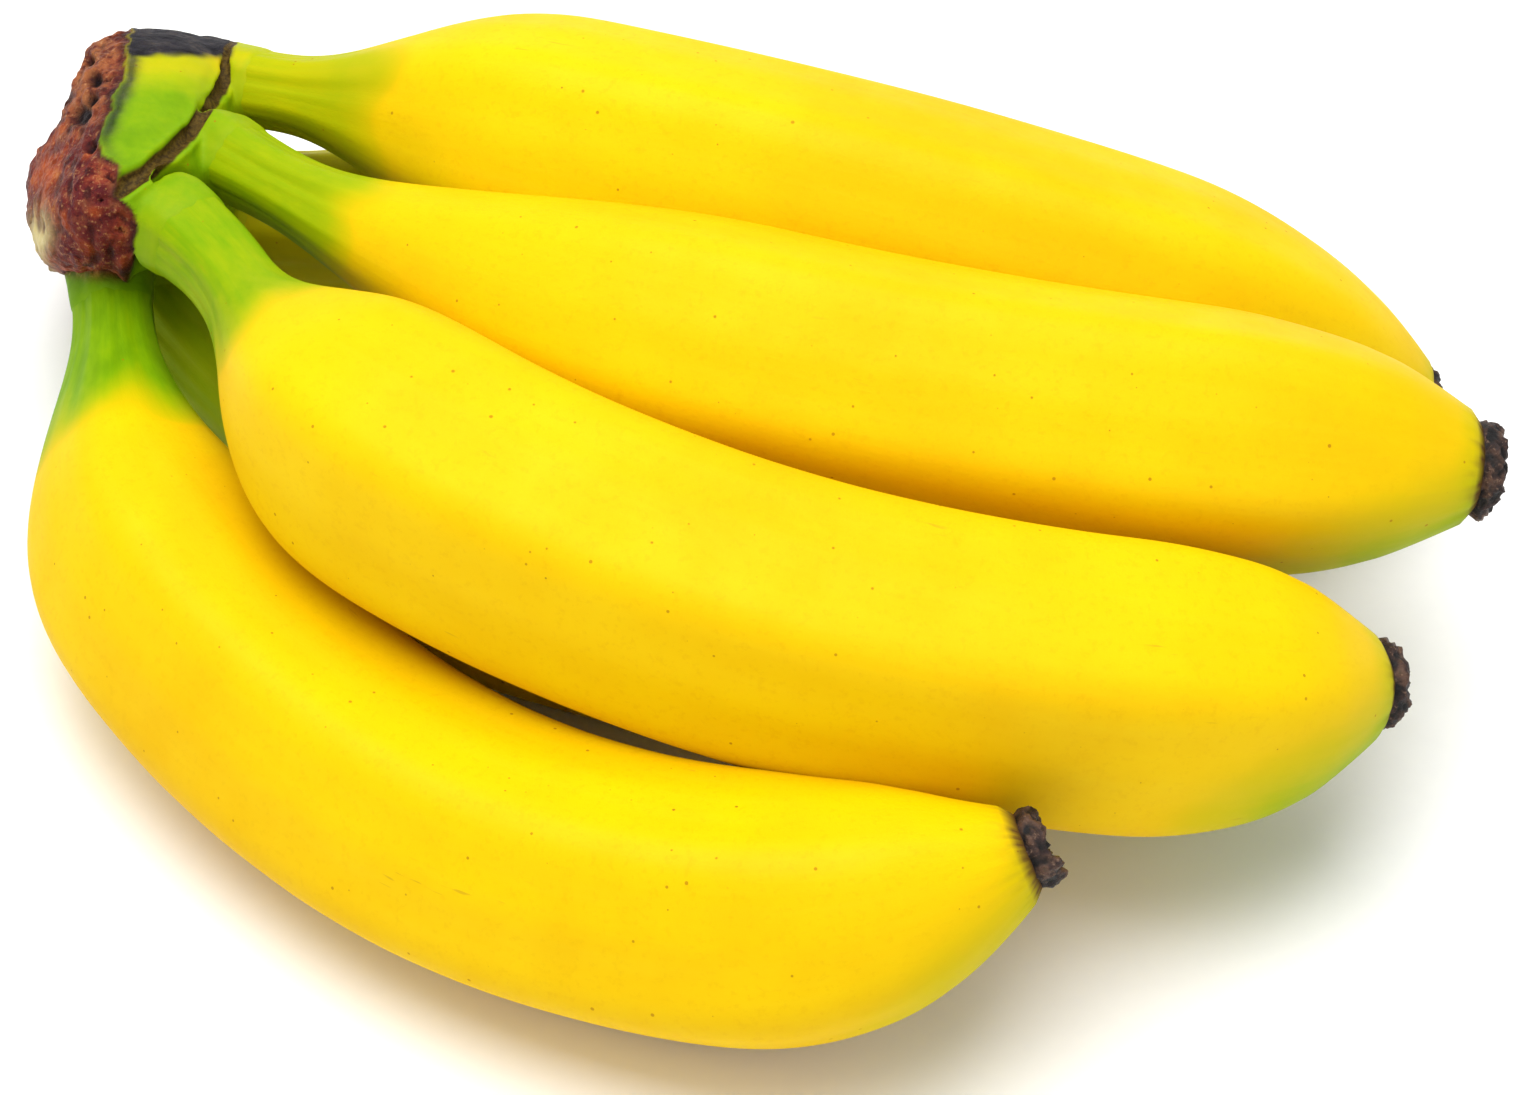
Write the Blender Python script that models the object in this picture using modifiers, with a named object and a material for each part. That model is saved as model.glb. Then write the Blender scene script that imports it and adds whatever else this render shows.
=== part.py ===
"""A bunch of six bananas on its crown, lying on a flat surface: four fingers in an upper row that arch
up and over, and two beneath them.

Metres, +Z up. The bunch lies on Z = 0. The stalks leave the crown at the -X end, and the blossom ends
point to +X. The origin is under the middle of the bunch's box.
Lengths in the tables are in millimetres, and angles in degrees.
"""

import math
from dataclasses import dataclass

import bmesh
import bpy
from mathutils import Vector

MM = 0.001
BUNCH = "banana_bunch"
CLEARANCE = 0.3

# The skin: how finely a finger is divided, and its five soft ridges, which fade towards both ends
STALK_RINGS = 6
FRUIT_RINGS = 22
RING_CROWDING = 0.6
SIDES = 20
SPINE_STEPS = 300
RIDGES = 5
RIDGE_HEIGHT = 0.035
STALK_FLARE = 1.2
SWELL_POWER = 1.6
SWELL_REACH = 0.45
TAPER_ROUNDNESS = 0.9
SKIN_COLOUR = (0.86, 0.60, 0.03, 1.0)
SKIN_ROUGHNESS = 0.42

# The pocket for a stalk goes on into the shoulder, past all of the crown
POCKET_FRUIT_RINGS = 6

# The dried flower end: (distance from the fruit, share of the fruit's end radius), with three low lumps
TIP_SIDES = 14
TIP_PROFILE = ((CLEARANCE, 0.90), (1.2, 1.0), (2.6, 0.94), (4.0, 0.78), (4.8, 0.45))
TIP_LUMPS = 3
TIP_LUMP_HEIGHT = 0.06
TIP_COLOUR = (0.045, 0.03, 0.022, 1.0)
TIP_ROUGHNESS = 0.9

# The crown: sections across it, from the far end to the near one, as
# (y, leftmost x, rightmost x, lowest z, highest z, how far the cut face leans to the right at its top)
CROWN_SECTIONS = (
    (67, -99, -77, 18, 39, 0),
    (61, -102, -74, 12, 44, 1),
    (52, -104, -73, 10, 50, 6),
    (43, -107, -74, 11, 52, 12),
    (34, -106, -75, 19, 53, 13),
    (26, -103, -78, 27, 54, 11),
    (19, -100, -80, 34, 54, 6),
    (13, -95, -84, 39, 51, 2),
)
CROWN_SIDES = 14
CROWN_SQUARENESS = 0.62
CROWN_COLOUR = (0.16, 0.06, 0.035, 1.0)
CROWN_ROUGHNESS = 0.8


@dataclass(frozen=True)
class Finger:
    """One banana, from the start of its stalk inside the crown to its blossom end."""

    name: str
    base: tuple
    heading: float  # the stalk's direction seen from above, from +X towards +Y
    pitch: float  # the stalk's rise above the horizontal
    roll: float  # the plane of the bend: 0 bends to the finger's left, -90 bends down
    stalk_bend: float
    fruit_bend: float
    bend_bias: float  # above 0, more of the bend is near the stalk
    stalk: float
    fruit: float
    stalk_radius: float
    body_radius: float
    end_radius: float
    shoulder: float  # share of the fruit in which it swells to its full girth
    taper: float  # share of the fruit in which it narrows to its end
    stalk_lean: float  # how far the stalk stands to the inside of the bend
    end_lean: float  # the same for the blossom end
    ridge_turn: float  # where the first ridge is, from the outside of the bend


FINGERS = (
    Finger(
        name="finger_1",
        base=(-93, 32, 33.5), heading=-75, pitch=-11, roll=17,
        stalk_bend=-10, fruit_bend=89, bend_bias=0.1,
        stalk=20, fruit=181, stalk_radius=5.4, body_radius=17.8, end_radius=6.7,
        shoulder=0.24, taper=0.19, stalk_lean=0.25, end_lean=0.6, ridge_turn=-84,
    ),
    Finger(
        name="finger_2",
        base=(-83.5, 21, 44.5), heading=-45, pitch=1, roll=-18,
        stalk_bend=-22, fruit_bend=89, bend_bias=0.4,
        stalk=25, fruit=177, stalk_radius=5.9, body_radius=18.9, end_radius=8.5,
        shoulder=0.22, taper=0.19, stalk_lean=0.15, end_lean=0.1, ridge_turn=-27,
    ),
    Finger(
        name="finger_3",
        base=(-77.8, 37.2, 42.2), heading=-46, pitch=10, roll=-21,
        stalk_bend=-1, fruit_bend=57, bend_bias=0.7,
        stalk=18, fruit=173, stalk_radius=5.2, body_radius=17.7, end_radius=8.5,
        shoulder=0.43, taper=0.2, stalk_lean=0.05, end_lean=-0.1, ridge_turn=8,
    ),
    Finger(
        name="finger_4",
        base=(-83, 58.5, 36.5), heading=-29, pitch=15, roll=-56,
        stalk_bend=5, fruit_bend=54, bend_bias=-0.9,
        stalk=20, fruit=169, stalk_radius=5.3, body_radius=17.4, end_radius=6.8,
        shoulder=0.23, taper=0.25, stalk_lean=0, end_lean=0.25, ridge_turn=-18,
    ),
    Finger(
        name="finger_5",
        base=(-94.1, 46.5, 19.2), heading=-65, pitch=-2, roll=2,
        stalk_bend=13, fruit_bend=70, bend_bias=0.1,
        stalk=44, fruit=143, stalk_radius=6.2, body_radius=16.6, end_radius=6.7,
        shoulder=0.36, taper=0.35, stalk_lean=0.25, end_lean=0.1, ridge_turn=0,
    ),
    Finger(
        name="finger_6",
        base=(-81, 50.1, 19.1), heading=-9.5, pitch=-2, roll=192,
        stalk_bend=-18, fruit_bend=36, bend_bias=-0.1,
        stalk=33, fruit=118, stalk_radius=9, body_radius=17.5, end_radius=6.7,
        shoulder=0.32, taper=0.3, stalk_lean=0.2, end_lean=0.2, ridge_turn=10,
    ),
)


def smooth(share):
    """An even step from 0 to 1."""
    share = min(max(share, 0.0), 1.0)
    return share * share * (3 - 2 * share)


def direction(heading, pitch):
    return Vector(
        (
            math.cos(pitch) * math.cos(heading),
            math.cos(pitch) * math.sin(heading),
            math.sin(pitch),
        )
    )


class Spine:
    """The finger's axis: a stalk that bends a little, then a fruit that bends more, in one tilted plane."""

    def __init__(self, finger):
        self.finger = finger
        heading = math.radians(finger.heading)
        roll = math.radians(finger.roll)
        self.start_way = direction(heading, math.radians(finger.pitch))
        left = Vector((-math.sin(heading), math.cos(heading), 0))
        self.bend_way = math.cos(roll) * left + math.sin(roll) * self.start_way.cross(left)
        self.length = finger.stalk + finger.fruit
        self.step = self.length / SPINE_STEPS
        self.points = [Vector(finger.base)]
        for i in range(SPINE_STEPS):
            self.points.append(self.points[-1] + self.step * self.tangent((i + 0.5) * self.step))

    def turned(self, along):
        """The angle turned through from the start of the stalk."""
        finger = self.finger
        share = min(max((along - finger.stalk) / finger.fruit, 0.0), 1.0)
        bias = finger.bend_bias * math.sin(math.pi * share) / (2 * math.pi)
        return math.radians(
            finger.stalk_bend * smooth(along / finger.stalk) + finger.fruit_bend * (share + bias)
        )

    def tangent(self, along):
        angle = self.turned(along)
        return math.cos(angle) * self.start_way + math.sin(angle) * self.bend_way

    def inward(self, along):
        angle = self.turned(along)
        return math.cos(angle) * self.bend_way - math.sin(angle) * self.start_way

    def point(self, along):
        place = min(max(along / self.step, 0.0), SPINE_STEPS - 1e-6)
        i = int(place)
        if along < 0:
            return self.points[0] + along * self.start_way
        return self.points[i].lerp(self.points[i + 1], place - i)


def girth(finger, along):
    """(radius, how far the section stands to the inside of the bend, how strong its ridges are)."""
    if along < finger.stalk:
        flare = STALK_FLARE * (1 - max(along, 0.0) / finger.stalk) ** 2
        return finger.stalk_radius + flare, 0.0, 0.0
    share = (along - finger.stalk) / finger.fruit
    swell = math.sin(math.pi / 2 * min(share / finger.shoulder, 1.0)) ** SWELL_POWER
    fall = math.sin(math.pi / 2 * min((1 - share) / finger.taper, 1.0)) ** TAPER_ROUNDNESS
    extra = (finger.body_radius - finger.stalk_radius) * swell
    radius = finger.end_radius + (finger.stalk_radius + extra - finger.end_radius) * fall
    lean = finger.end_lean * (finger.body_radius - finger.end_radius) * (1 - fall)
    lean -= finger.stalk_lean * extra * (1 - smooth(share / SWELL_REACH))
    return radius, lean, swell * fall


def section(spine, along, grow=0.0):
    """One ring of points round the finger."""
    finger = spine.finger
    radius, lean, ridged = girth(finger, along)
    inward = spine.inward(along)
    outward = -inward
    side = spine.tangent(along).cross(outward)
    centre = spine.point(along) + lean * inward
    ring = []
    for i in range(SIDES):
        angle = math.tau * i / SIDES + math.radians(finger.ridge_turn)
        ridge = 1 + RIDGE_HEIGHT * ridged * math.cos(RIDGES * math.tau * i / SIDES)
        reach = radius * ridge + grow
        ring.append(centre + reach * (math.cos(angle) * outward + math.sin(angle) * side))
    return ring


def loft(name, rings):
    """A closed solid through rings of equally many points, with a flat face over each end."""
    bm = bmesh.new()
    layers = [[bm.verts.new(point * MM) for point in ring] for ring in rings]
    for near, far in zip(layers, layers[1:]):
        for i in range(len(near)):
            j = (i + 1) % len(near)
            bm.faces.new((near[i], near[j], far[j], far[i]))
    bm.faces.new(layers[0])
    bm.faces.new(layers[-1])
    bmesh.ops.recalc_face_normals(bm, faces=bm.faces)
    mesh = bpy.data.meshes.new(name)
    bm.to_mesh(mesh)
    bm.free()
    mesh.shade_smooth()
    return bpy.data.objects.new(name, mesh)


def stalk_stations(finger):
    return [finger.stalk * i / STALK_RINGS for i in range(STALK_RINGS)]


def fruit_stations(finger):
    """Where the fruit's rings stand: closer together at the shoulder and at the blossom end."""
    stations = []
    for i in range(FRUIT_RINGS + 1):
        share = i / FRUIT_RINGS
        share -= RING_CROWDING * math.sin(math.tau * share) / math.tau
        stations.append(finger.stalk + finger.fruit * share)
    return stations


def make_finger(spine):
    stations = stalk_stations(spine.finger) + fruit_stations(spine.finger)
    return loft(spine.finger.name, [section(spine, along) for along in stations])


def make_tip(spine):
    """The dried flower end: a short lumpy stub."""
    finger = spine.finger
    _, lean, _ = girth(finger, spine.length)
    inward = spine.inward(spine.length)
    along = spine.tangent(spine.length)
    side = along.cross(inward)
    end = spine.points[-1] + lean * inward
    rings = []
    for distance, share in TIP_PROFILE:
        ring = []
        for i in range(TIP_SIDES):
            angle = math.tau * i / TIP_SIDES
            lump = 1 + TIP_LUMP_HEIGHT * math.sin(TIP_LUMPS * angle + distance + finger.heading)
            reach = share * finger.end_radius * lump
            ring.append(end + distance * along + reach * (math.cos(angle) * inward + math.sin(angle) * side))
        rings.append(ring)
    return loft(finger.name.replace("finger", "tip"), rings)


def make_crown():
    """A coarse cage of squarish sections, made round by subdivision."""
    rings = []
    for y, left, right, low, high, lean in CROWN_SECTIONS:
        ring = []
        for i in range(CROWN_SIDES):
            angle = math.tau * (i + 0.5) / CROWN_SIDES
            across = math.copysign(abs(math.cos(angle)) ** CROWN_SQUARENESS, math.cos(angle))
            up = math.copysign(abs(math.sin(angle)) ** CROWN_SQUARENESS, math.sin(angle))
            x = (left + right) / 2 + across * (right - left) / 2
            if across < 0:
                x += lean * max(up, 0.0) * -across
            ring.append(Vector((x, y, (low + high) / 2 + up * (high - low) / 2)))
        rings.append(ring)
    crown = loft("crown", rings)
    rounding = crown.modifiers.new("rounding", "SUBSURF")
    rounding.levels = 1
    rounding.render_levels = 1
    return crown


def make_pocket(spine):
    """The space that a stalk takes out of the crown."""
    finger = spine.finger
    stations = [-CLEARANCE] + stalk_stations(finger) + fruit_stations(finger)[:POCKET_FRUIT_RINGS]
    name = spine.finger.name.replace("finger", "pocket")
    return loft(name, [section(spine, along, CLEARANCE) for along in stations])


def cut(body, cutter):
    boolean = body.modifiers.new(cutter.name, "BOOLEAN")
    boolean.operation = "DIFFERENCE"
    boolean.solver = "EXACT"
    boolean.object = cutter
    cutter.hide_render = True
    cutter.display_type = "WIRE"


def paint(obj, colour, roughness):
    material = bpy.data.materials.new(obj.name)
    material.use_nodes = True
    shader = material.node_tree.nodes["Principled BSDF"]
    shader.inputs["Base Color"].default_value = colour
    shader.inputs["Roughness"].default_value = roughness
    shader.inputs["Metallic"].default_value = 0.0
    material.diffuse_color = colour
    obj.data.materials.append(material)


def new_collection(name):
    collection = bpy.data.collections.new(name)
    bpy.context.scene.collection.children.link(collection)
    return collection


def stand_on_origin(pieces, helpers):
    """Hangs everything from one empty, placed so that the box's bottom centre is the world's origin."""
    bpy.context.view_layer.update()
    graph = bpy.context.evaluated_depsgraph_get()
    corners = [
        obj.matrix_world @ vertex.co
        for obj in pieces
        for vertex in obj.evaluated_get(graph).data.vertices
    ]
    low = Vector([min(corner[i] for corner in corners) for i in range(3)])
    high = Vector([max(corner[i] for corner in corners) for i in range(3)])
    bunch = bpy.data.objects.new(BUNCH, None)
    bunch.location = (-(low.x + high.x) / 2, -(low.y + high.y) / 2, -low.z)
    bpy.data.collections[BUNCH].objects.link(bunch)
    for obj in [*pieces, *helpers]:
        obj.parent = bunch


def main():
    for obj in list(bpy.data.objects):
        bpy.data.objects.remove(obj, do_unlink=True)
    parts = new_collection(BUNCH)
    cutters = new_collection("cutters")
    crown = make_crown()
    paint(crown, CROWN_COLOUR, CROWN_ROUGHNESS)
    pieces = [crown]
    pockets = []
    for finger in FINGERS:
        spine = Spine(finger)
        fruit = make_finger(spine)
        paint(fruit, SKIN_COLOUR, SKIN_ROUGHNESS)
        tip = make_tip(spine)
        paint(tip, TIP_COLOUR, TIP_ROUGHNESS)
        pieces += [fruit, tip]
        pockets.append(make_pocket(spine))
    for obj in pieces:
        parts.objects.link(obj)
    for pocket in pockets:
        cutters.objects.link(pocket)
        cut(crown, pocket)
    stand_on_origin(pieces, pockets)


main()
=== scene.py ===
"""The looks of a bunch of bananas: yellow skin with soft ridges, green stalks, a brown cut crown and dry
dark flower ends, on a plain pale floor.

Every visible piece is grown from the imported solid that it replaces. A finger's skin is found by walking
along the inside of its solid and measuring the way out on all sides, so its place, bend and girth are the
solid's own, and the ridges, creases and lumps that the solid is too coarse for are added to that.
Lengths are in metres unless a name or a comment says mm.
"""

import math

import bmesh
import bpy
import numpy as np
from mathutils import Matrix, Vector, noise
from mathutils.bvhtree import BVHTree


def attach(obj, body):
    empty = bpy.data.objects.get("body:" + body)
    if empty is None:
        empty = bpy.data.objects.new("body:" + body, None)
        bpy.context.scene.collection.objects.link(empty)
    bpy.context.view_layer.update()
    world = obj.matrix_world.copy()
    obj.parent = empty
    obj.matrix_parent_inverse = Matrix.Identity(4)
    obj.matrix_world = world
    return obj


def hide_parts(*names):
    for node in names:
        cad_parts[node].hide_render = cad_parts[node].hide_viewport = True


MM = 0.001

# How each finger differs: where its green stalk turns yellow, in mm from the crown end, how green its stalk
# and its flower end are, how long its dried stub is, how much its very end narrows, and how much its
# shoulder is swollen. A finger's number is also the seed of its lumps.
FINGERS = {
    1: {"green_until_mm": 37, "green": 0.88, "end_green": 0.20, "stub": 0.85, "end": 0.86, "swell": 0.0},
    2: {"green_until_mm": 38, "green": 0.72, "end_green": 0.50, "stub": 0.78, "end": 0.73, "swell": 0.0},
    3: {"green_until_mm": 36, "green": 0.62, "end_green": 0.42, "stub": 0.88, "end": 0.80, "swell": 0.0},
    4: {"green_until_mm": 37, "green": 0.42, "end_green": 0.30, "stub": 0.55, "end": 0.88, "swell": 0.0},
    5: {"green_until_mm": 54, "green": 0.60, "end_green": 0.35, "stub": 1.0, "end": 0.90, "swell": 0.0},
    6: {"green_until_mm": 34, "green": 0.30, "end_green": 0.30, "stub": 1.0, "end": 0.90, "swell": 0.15},
}

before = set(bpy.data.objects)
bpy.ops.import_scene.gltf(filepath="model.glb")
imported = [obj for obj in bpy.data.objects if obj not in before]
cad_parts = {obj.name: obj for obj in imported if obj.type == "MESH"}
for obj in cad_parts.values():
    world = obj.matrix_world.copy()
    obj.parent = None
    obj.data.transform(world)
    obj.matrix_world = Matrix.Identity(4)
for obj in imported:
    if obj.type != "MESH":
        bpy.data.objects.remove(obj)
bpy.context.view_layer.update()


# ---------------------------------------------------------------- small helpers


def unit(vector):
    return vector / np.linalg.norm(vector)


def ease(value):
    """An even step from 0 to 1, for numbers and arrays."""
    value = np.clip(value, 0.0, 1.0)
    return value * value * (3 - 2 * value)


def bell(value, middle, width):
    """A smooth hump, 1 at middle and near 0 two widths away."""
    return np.exp(-(((value - middle) / width) ** 2))


def smoothed(rows, reach):
    """Rows averaged along the first axis with a bell of that reach, in rows. The ends stay where they are."""
    span = int(3 * reach)
    weights = np.exp(-0.5 * (np.arange(-span, span + 1) / reach) ** 2)
    weights /= weights.sum()
    before = 2 * rows[:1] - rows[span:0:-1]
    after = 2 * rows[-1:] - rows[-2 : -span - 2 : -1]
    padded = np.concatenate([before, rows, after])
    return sum(w * padded[i : i + len(rows)] for i, w in enumerate(weights))


def lumps(points, size, seed):
    """Smooth noise from -1 to 1 at points in metres, with features about that size."""
    shift = np.array((seed * 7.3, seed * 3.1, seed * 5.7))
    flat = points.reshape(-1, 3) / size + shift
    return np.array([noise.noise(point) for point in flat.tolist()]).reshape(points.shape[:-1])


def spokes_at(turns, first, second):
    """Directions at those turns from first to second, one row for each pair of directions."""
    across_first = np.cos(turns)[None, :, None] * first[:, None]
    return across_first + np.sin(turns)[None, :, None] * second[:, None]


def evenly_turned(count):
    return math.tau * np.arange(count) / count


def solid_of(node):
    """(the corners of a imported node, a tree for casting rays at it)"""
    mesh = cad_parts[node].data
    corners = np.array([vertex.co for vertex in mesh.vertices])
    faces = [tuple(face.vertices) for face in mesh.polygons]
    return corners, BVHTree.FromPolygons(corners.tolist(), faces)


crown_tree = solid_of("crown")[1]


def new_object(name, vertices, faces):
    mesh = bpy.data.meshes.new(name)
    mesh.from_pydata(vertices.tolist(), [], faces)
    mesh.update()
    mesh.shade_smooth()
    obj = bpy.data.objects.new(name, mesh)
    bpy.context.scene.collection.objects.link(obj)
    return obj


def add_attribute(obj, name, values, kind="FLOAT"):
    attribute = obj.data.attributes.new(name, kind, "POINT")
    key = "vector" if kind == "FLOAT_VECTOR" else "value"
    attribute.data.foreach_set(key, np.ascontiguousarray(values, np.float32).ravel())


def lofted(rings):
    """(vertices, faces) of a closed skin through rings of equally many points, with a point at each end."""
    count, around = rings.shape[:2]
    grid = np.arange(count * around).reshape(count, around)
    nxt = np.roll(grid, -1, axis=1)
    faces = np.stack([grid[:-1], nxt[:-1], nxt[1:], grid[1:]], -1).reshape(-1, 4).tolist()
    first, last = count * around, count * around + 1
    faces += [[first, nxt[0, i], grid[0, i]] for i in range(around)]
    faces += [[last, grid[-1, i], nxt[-1, i]] for i in range(around)]
    middles = [rings[0].mean(0), rings[-1].mean(0)]
    return np.concatenate([rings.reshape(-1, 3), middles]), faces


# ---------------------------------------------------------------- finding a finger's skin

WALK = 2.5 * MM
WALK_RAYS = 48
SKIN_RAYS = 72
SKIN_RINGS = 260
SKIN_SIDES = 128
# Waves around a section finer than this come from the solid's flat sides
BODY_WAVES = 7
RIDGES = 5
RIDGED_MOST = 1.2
# How many rows the walk, the axis, the girth and the strength of the ridges are smoothed over
WALK_SMOOTHING = 2.0
AXIS_SMOOTHING = 4.0
GIRTH_SMOOTHING = 5.0
RIDGE_SMOOTHING = 6.0
# A solid with flat sides is a little smaller than the round thing it stands for
ROUNDER = 1.006
# Corners within this of a cap's plane belong to the cap
FLAT_CAP = 0.05 * MM
# Sections this close to a cap would cut it
CAP_MARGIN = 2.5 * MM
# How far outside the skin the crown is looked for, and how far a skin carries on inside it
PROBE = 1.0 * MM
BURIED = 1.0 * MM
# A direction that no finger runs in
SLANT = (0.3, 0.2, 0.93)


def ways_out(tree, middle, first, second, count):
    """How far the skin is from middle in evenly turned directions of the plane of first and second."""
    reaches = np.empty(count)
    for i in range(count):
        turn = math.tau * i / count
        ray = math.cos(turn) * first + math.sin(turn) * second
        distance = tree.ray_cast(Vector(middle), Vector(ray))[3]
        reaches[i] = np.nan if distance is None else distance
    known = ~np.isnan(reaches)
    reaches[~known] = reaches[known].mean()
    return reaches


def cap_middle(corners, tree, near):
    """(the middle of the flat cap nearest to a point, the way in from it)"""
    place, normal = tree.find_nearest(Vector(near))[:2]
    normal = np.array(normal)
    on_cap = corners[np.abs((corners - np.array(place)) @ normal) < FLAT_CAP]
    return np.unique(np.round(on_cap, 6), axis=0).mean(0), -normal


def across(way):
    """Two directions square to a way and to each other."""
    first = unit(np.cross(way, SLANT))
    return first, np.cross(way, first)


def walk_inside(corners, tree, start, way):
    """The middles of sections through a finger, from one flat cap to the other."""
    path = [start]
    middle = start + way * WALK
    while True:
        first, second = across(way)
        reaches = ways_out(tree, middle, first, second, WALK_RAYS)
        turns = evenly_turned(WALK_RAYS)
        # The middle of an area that is cut into slices like a cake
        weights = reaches**3 / (reaches**2).sum() * 2 / 3
        middle = middle + (weights * np.cos(turns)).sum() * first + (weights * np.sin(turns)).sum() * second
        path.append(middle)
        if len(path) > 4:
            way = unit(path[-1] - path[-4])
        ahead = tree.ray_cast(Vector(middle), Vector(way))[3]
        if ahead is None or ahead < 1.5 * WALK:
            break
        middle = middle + way * WALK
    path.append(cap_middle(corners, tree, middle + way * ahead)[0])
    return np.array(path)


class Skin:
    """A finger's axis and girth, from the crown end to the flower end.

    along: metres from the crown end. middles, ways, outs, sides: the axis and its directions, out being the
    outside of the bend. reaches[i, k]: the radius of ring i in direction k. ridge: the angle of a ridge.
    ridged: how strong the ridges are on each ring. covered: the last ring that the crown reaches. peeled:
    the radii of the finished skin, once it is made.
    """

    def __init__(self, number):
        corners, tree = solid_of(f"finger_{number}")
        tip_corners = solid_of(f"tip_{number}")[0]
        start, way = cap_middle(corners, tree, tip_corners.mean(0))
        path = walk_inside(corners, tree, start, way)[::-1]
        path = smoothed(path, WALK_SMOOTHING)
        steps = np.linalg.norm(np.diff(path, axis=0), axis=1)
        lengths = np.concatenate([[0], np.cumsum(steps)])
        self.number = number
        self.length = lengths[-1]
        self.along = np.linspace(0, self.length, SKIN_RINGS)
        self.middles = np.stack([np.interp(self.along, lengths, path[:, k]) for k in range(3)], -1)
        self.middles = smoothed(self.middles, AXIS_SMOOTHING)
        self.ways = np.gradient(self.middles, axis=0)
        self.ways /= np.linalg.norm(self.ways, axis=1)[:, None]
        centred = self.middles - self.middles.mean(0)
        plane_normal = np.linalg.svd(centred)[2][2]
        self.outs = np.cross(self.ways, plane_normal)
        self.outs /= np.linalg.norm(self.outs, axis=1)[:, None]
        chord = (self.middles[0] + self.middles[-1]) / 2
        if (self.middles[SKIN_RINGS // 2] - chord) @ self.outs[SKIN_RINGS // 2] < 0:
            self.outs = -self.outs
        self.sides = np.cross(self.ways, self.outs)
        self.reaches = self.measure(tree)
        self.covered = self.last_covered()

    def last_covered(self):
        last = 0
        probe = self.rings(self.reaches + PROBE)
        for i in range(SKIN_RINGS // 3):
            for point in probe[i, ::8]:
                place, normal, _, away = crown_tree.find_nearest(Vector(point))
                if away < 3 * PROBE and (Vector(point) - place).dot(normal) < 0:
                    last = i
                    break
        return last

    def measure(self, tree):
        rows = []
        for middle, out, side in zip(self.middles, self.outs, self.sides):
            rows.append(ways_out(tree, middle, out, side, SKIN_RAYS))
        rows = np.array(rows)
        # The rings next to a cap carry on the slope before them
        margin = int(CAP_MARGIN / self.length * SKIN_RINGS) + 1
        slope = (rows[margin] - rows[margin + 3]) / 3
        rows[:margin] = rows[margin] + slope * np.arange(margin, 0, -1)[:, None]
        slope = (rows[-margin - 1] - rows[-margin - 4]) / 3
        rows[-margin:] = rows[-margin - 1] + slope * np.arange(1, margin + 1)[:, None]
        waves = np.fft.rfft(rows, axis=1)
        waves[:, BODY_WAVES + 1 :] = 0
        waves = smoothed(waves, GIRTH_SMOOTHING)
        ridge_waves = waves[:, RIDGES] * 2 / SKIN_RAYS
        strongest = ridge_waves[SKIN_RINGS // 2]
        self.ridge = -np.angle(strongest) / RIDGES
        self.ridged = np.clip(np.abs(ridge_waves) / np.abs(strongest), 0, RIDGED_MOST)
        return self.rounded(waves) * ROUNDER

    def rounded(self, waves):
        """The radii that the waves around each ring add up to."""
        turns = evenly_turned(SKIN_SIDES)
        rows = np.full((len(waves), SKIN_SIDES), 0.0)
        for k in range(BODY_WAVES + 1):
            scale = (1 if k == 0 else 2) / SKIN_RAYS
            rows += scale * (waves[:, k, None] * np.exp(1j * k * turns)).real
        return rows

    def rings(self, reaches):
        """The points of rings with those radii."""
        spokes = spokes_at(evenly_turned(reaches.shape[1]), self.outs, self.sides)
        return self.middles[:, None] + reaches[:, :, None] * spokes


# ---------------------------------------------------------------- the skins

# Heights of the ridges and of the stalk's own angles, as shares of the radius. Two waves for a ridge make
# it sharper. The stalk gives way to the fruit from this share of its green length on, over this share.
RIDGE_CREST = 0.023
RIDGE_SHARP = 0.012
STALK_ANGLE = 0.05
STALK_TURN = 0.5
STALK_SHARE = 0.55
STALK_FADE = 0.75
# Noise on the skin is laid out on a straight tube of this radius, each tube shifted by so much per finger
TUBE = 0.017
TUBE_SHIFT = 0.3
# Noise as (height, size, how far it is drawn out lengthwise, step of the seed)
RIDGE_UNEVEN = (0.30, 22 * MM, 0.45, 20)
SOFT_LUMPS = (0.15 * MM, 24 * MM, 0.6, 0)
FINE_LUMPS = (0.05 * MM, 7 * MM, 0.5, 7)
WRINKLES = (0.07 * MM, 1.7 * MM, 0.10, 3)
PUCKERS = (0.22 * MM, 2.6 * MM, 0.25, 5)
PUCKER_REACH = 9 * MM
# How far from the flower end the fruit narrows, bulges and turns in, and how far its axis is drawn out
NARROW_REACH = 11 * MM
BULGE = 0.025
BULGE_AT = 15 * MM
BULGE_LENGTH = 7 * MM
TURN_IN = 0.14
TURN_IN_REACH = 1.4 * MM
END_REACH = 1.4 * MM
END_REACH_FROM = 14 * MM
# Where a swollen shoulder lies, and how high a skin that would dip below the floor is held
SWELL_AT = 28 * MM
SWELL_LENGTH = 12 * MM
FLOOR_TOUCH = 0.02 * MM
# Where green gives way to yellow: the fade's length, and how it creeps along ridges and in patches
GREEN_FADE = 13 * MM
GREEN_ON_RIDGES = 1.2 * MM
GREEN_PATCHES = (5 * MM, 14 * MM, 1.0, 9)
# The flower end's green: a long patch on the lower side, and a short ring
END_PATCH = 38 * MM
END_RING = 6 * MM
LOWER_SIDE = 30 * MM
# The brown edge where the skin meets the flower end, and the spots around it
STAIN_EDGE = 1.8 * MM
STAIN_SPOTS = 4 * MM
STAIN_SPOT_SIZE = 2 * MM


def skin_noise(straight, kind, seed):
    height, size, drawn_out, step = kind
    return height * lumps(straight * (1, 1, drawn_out), size, seed + step)


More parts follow.
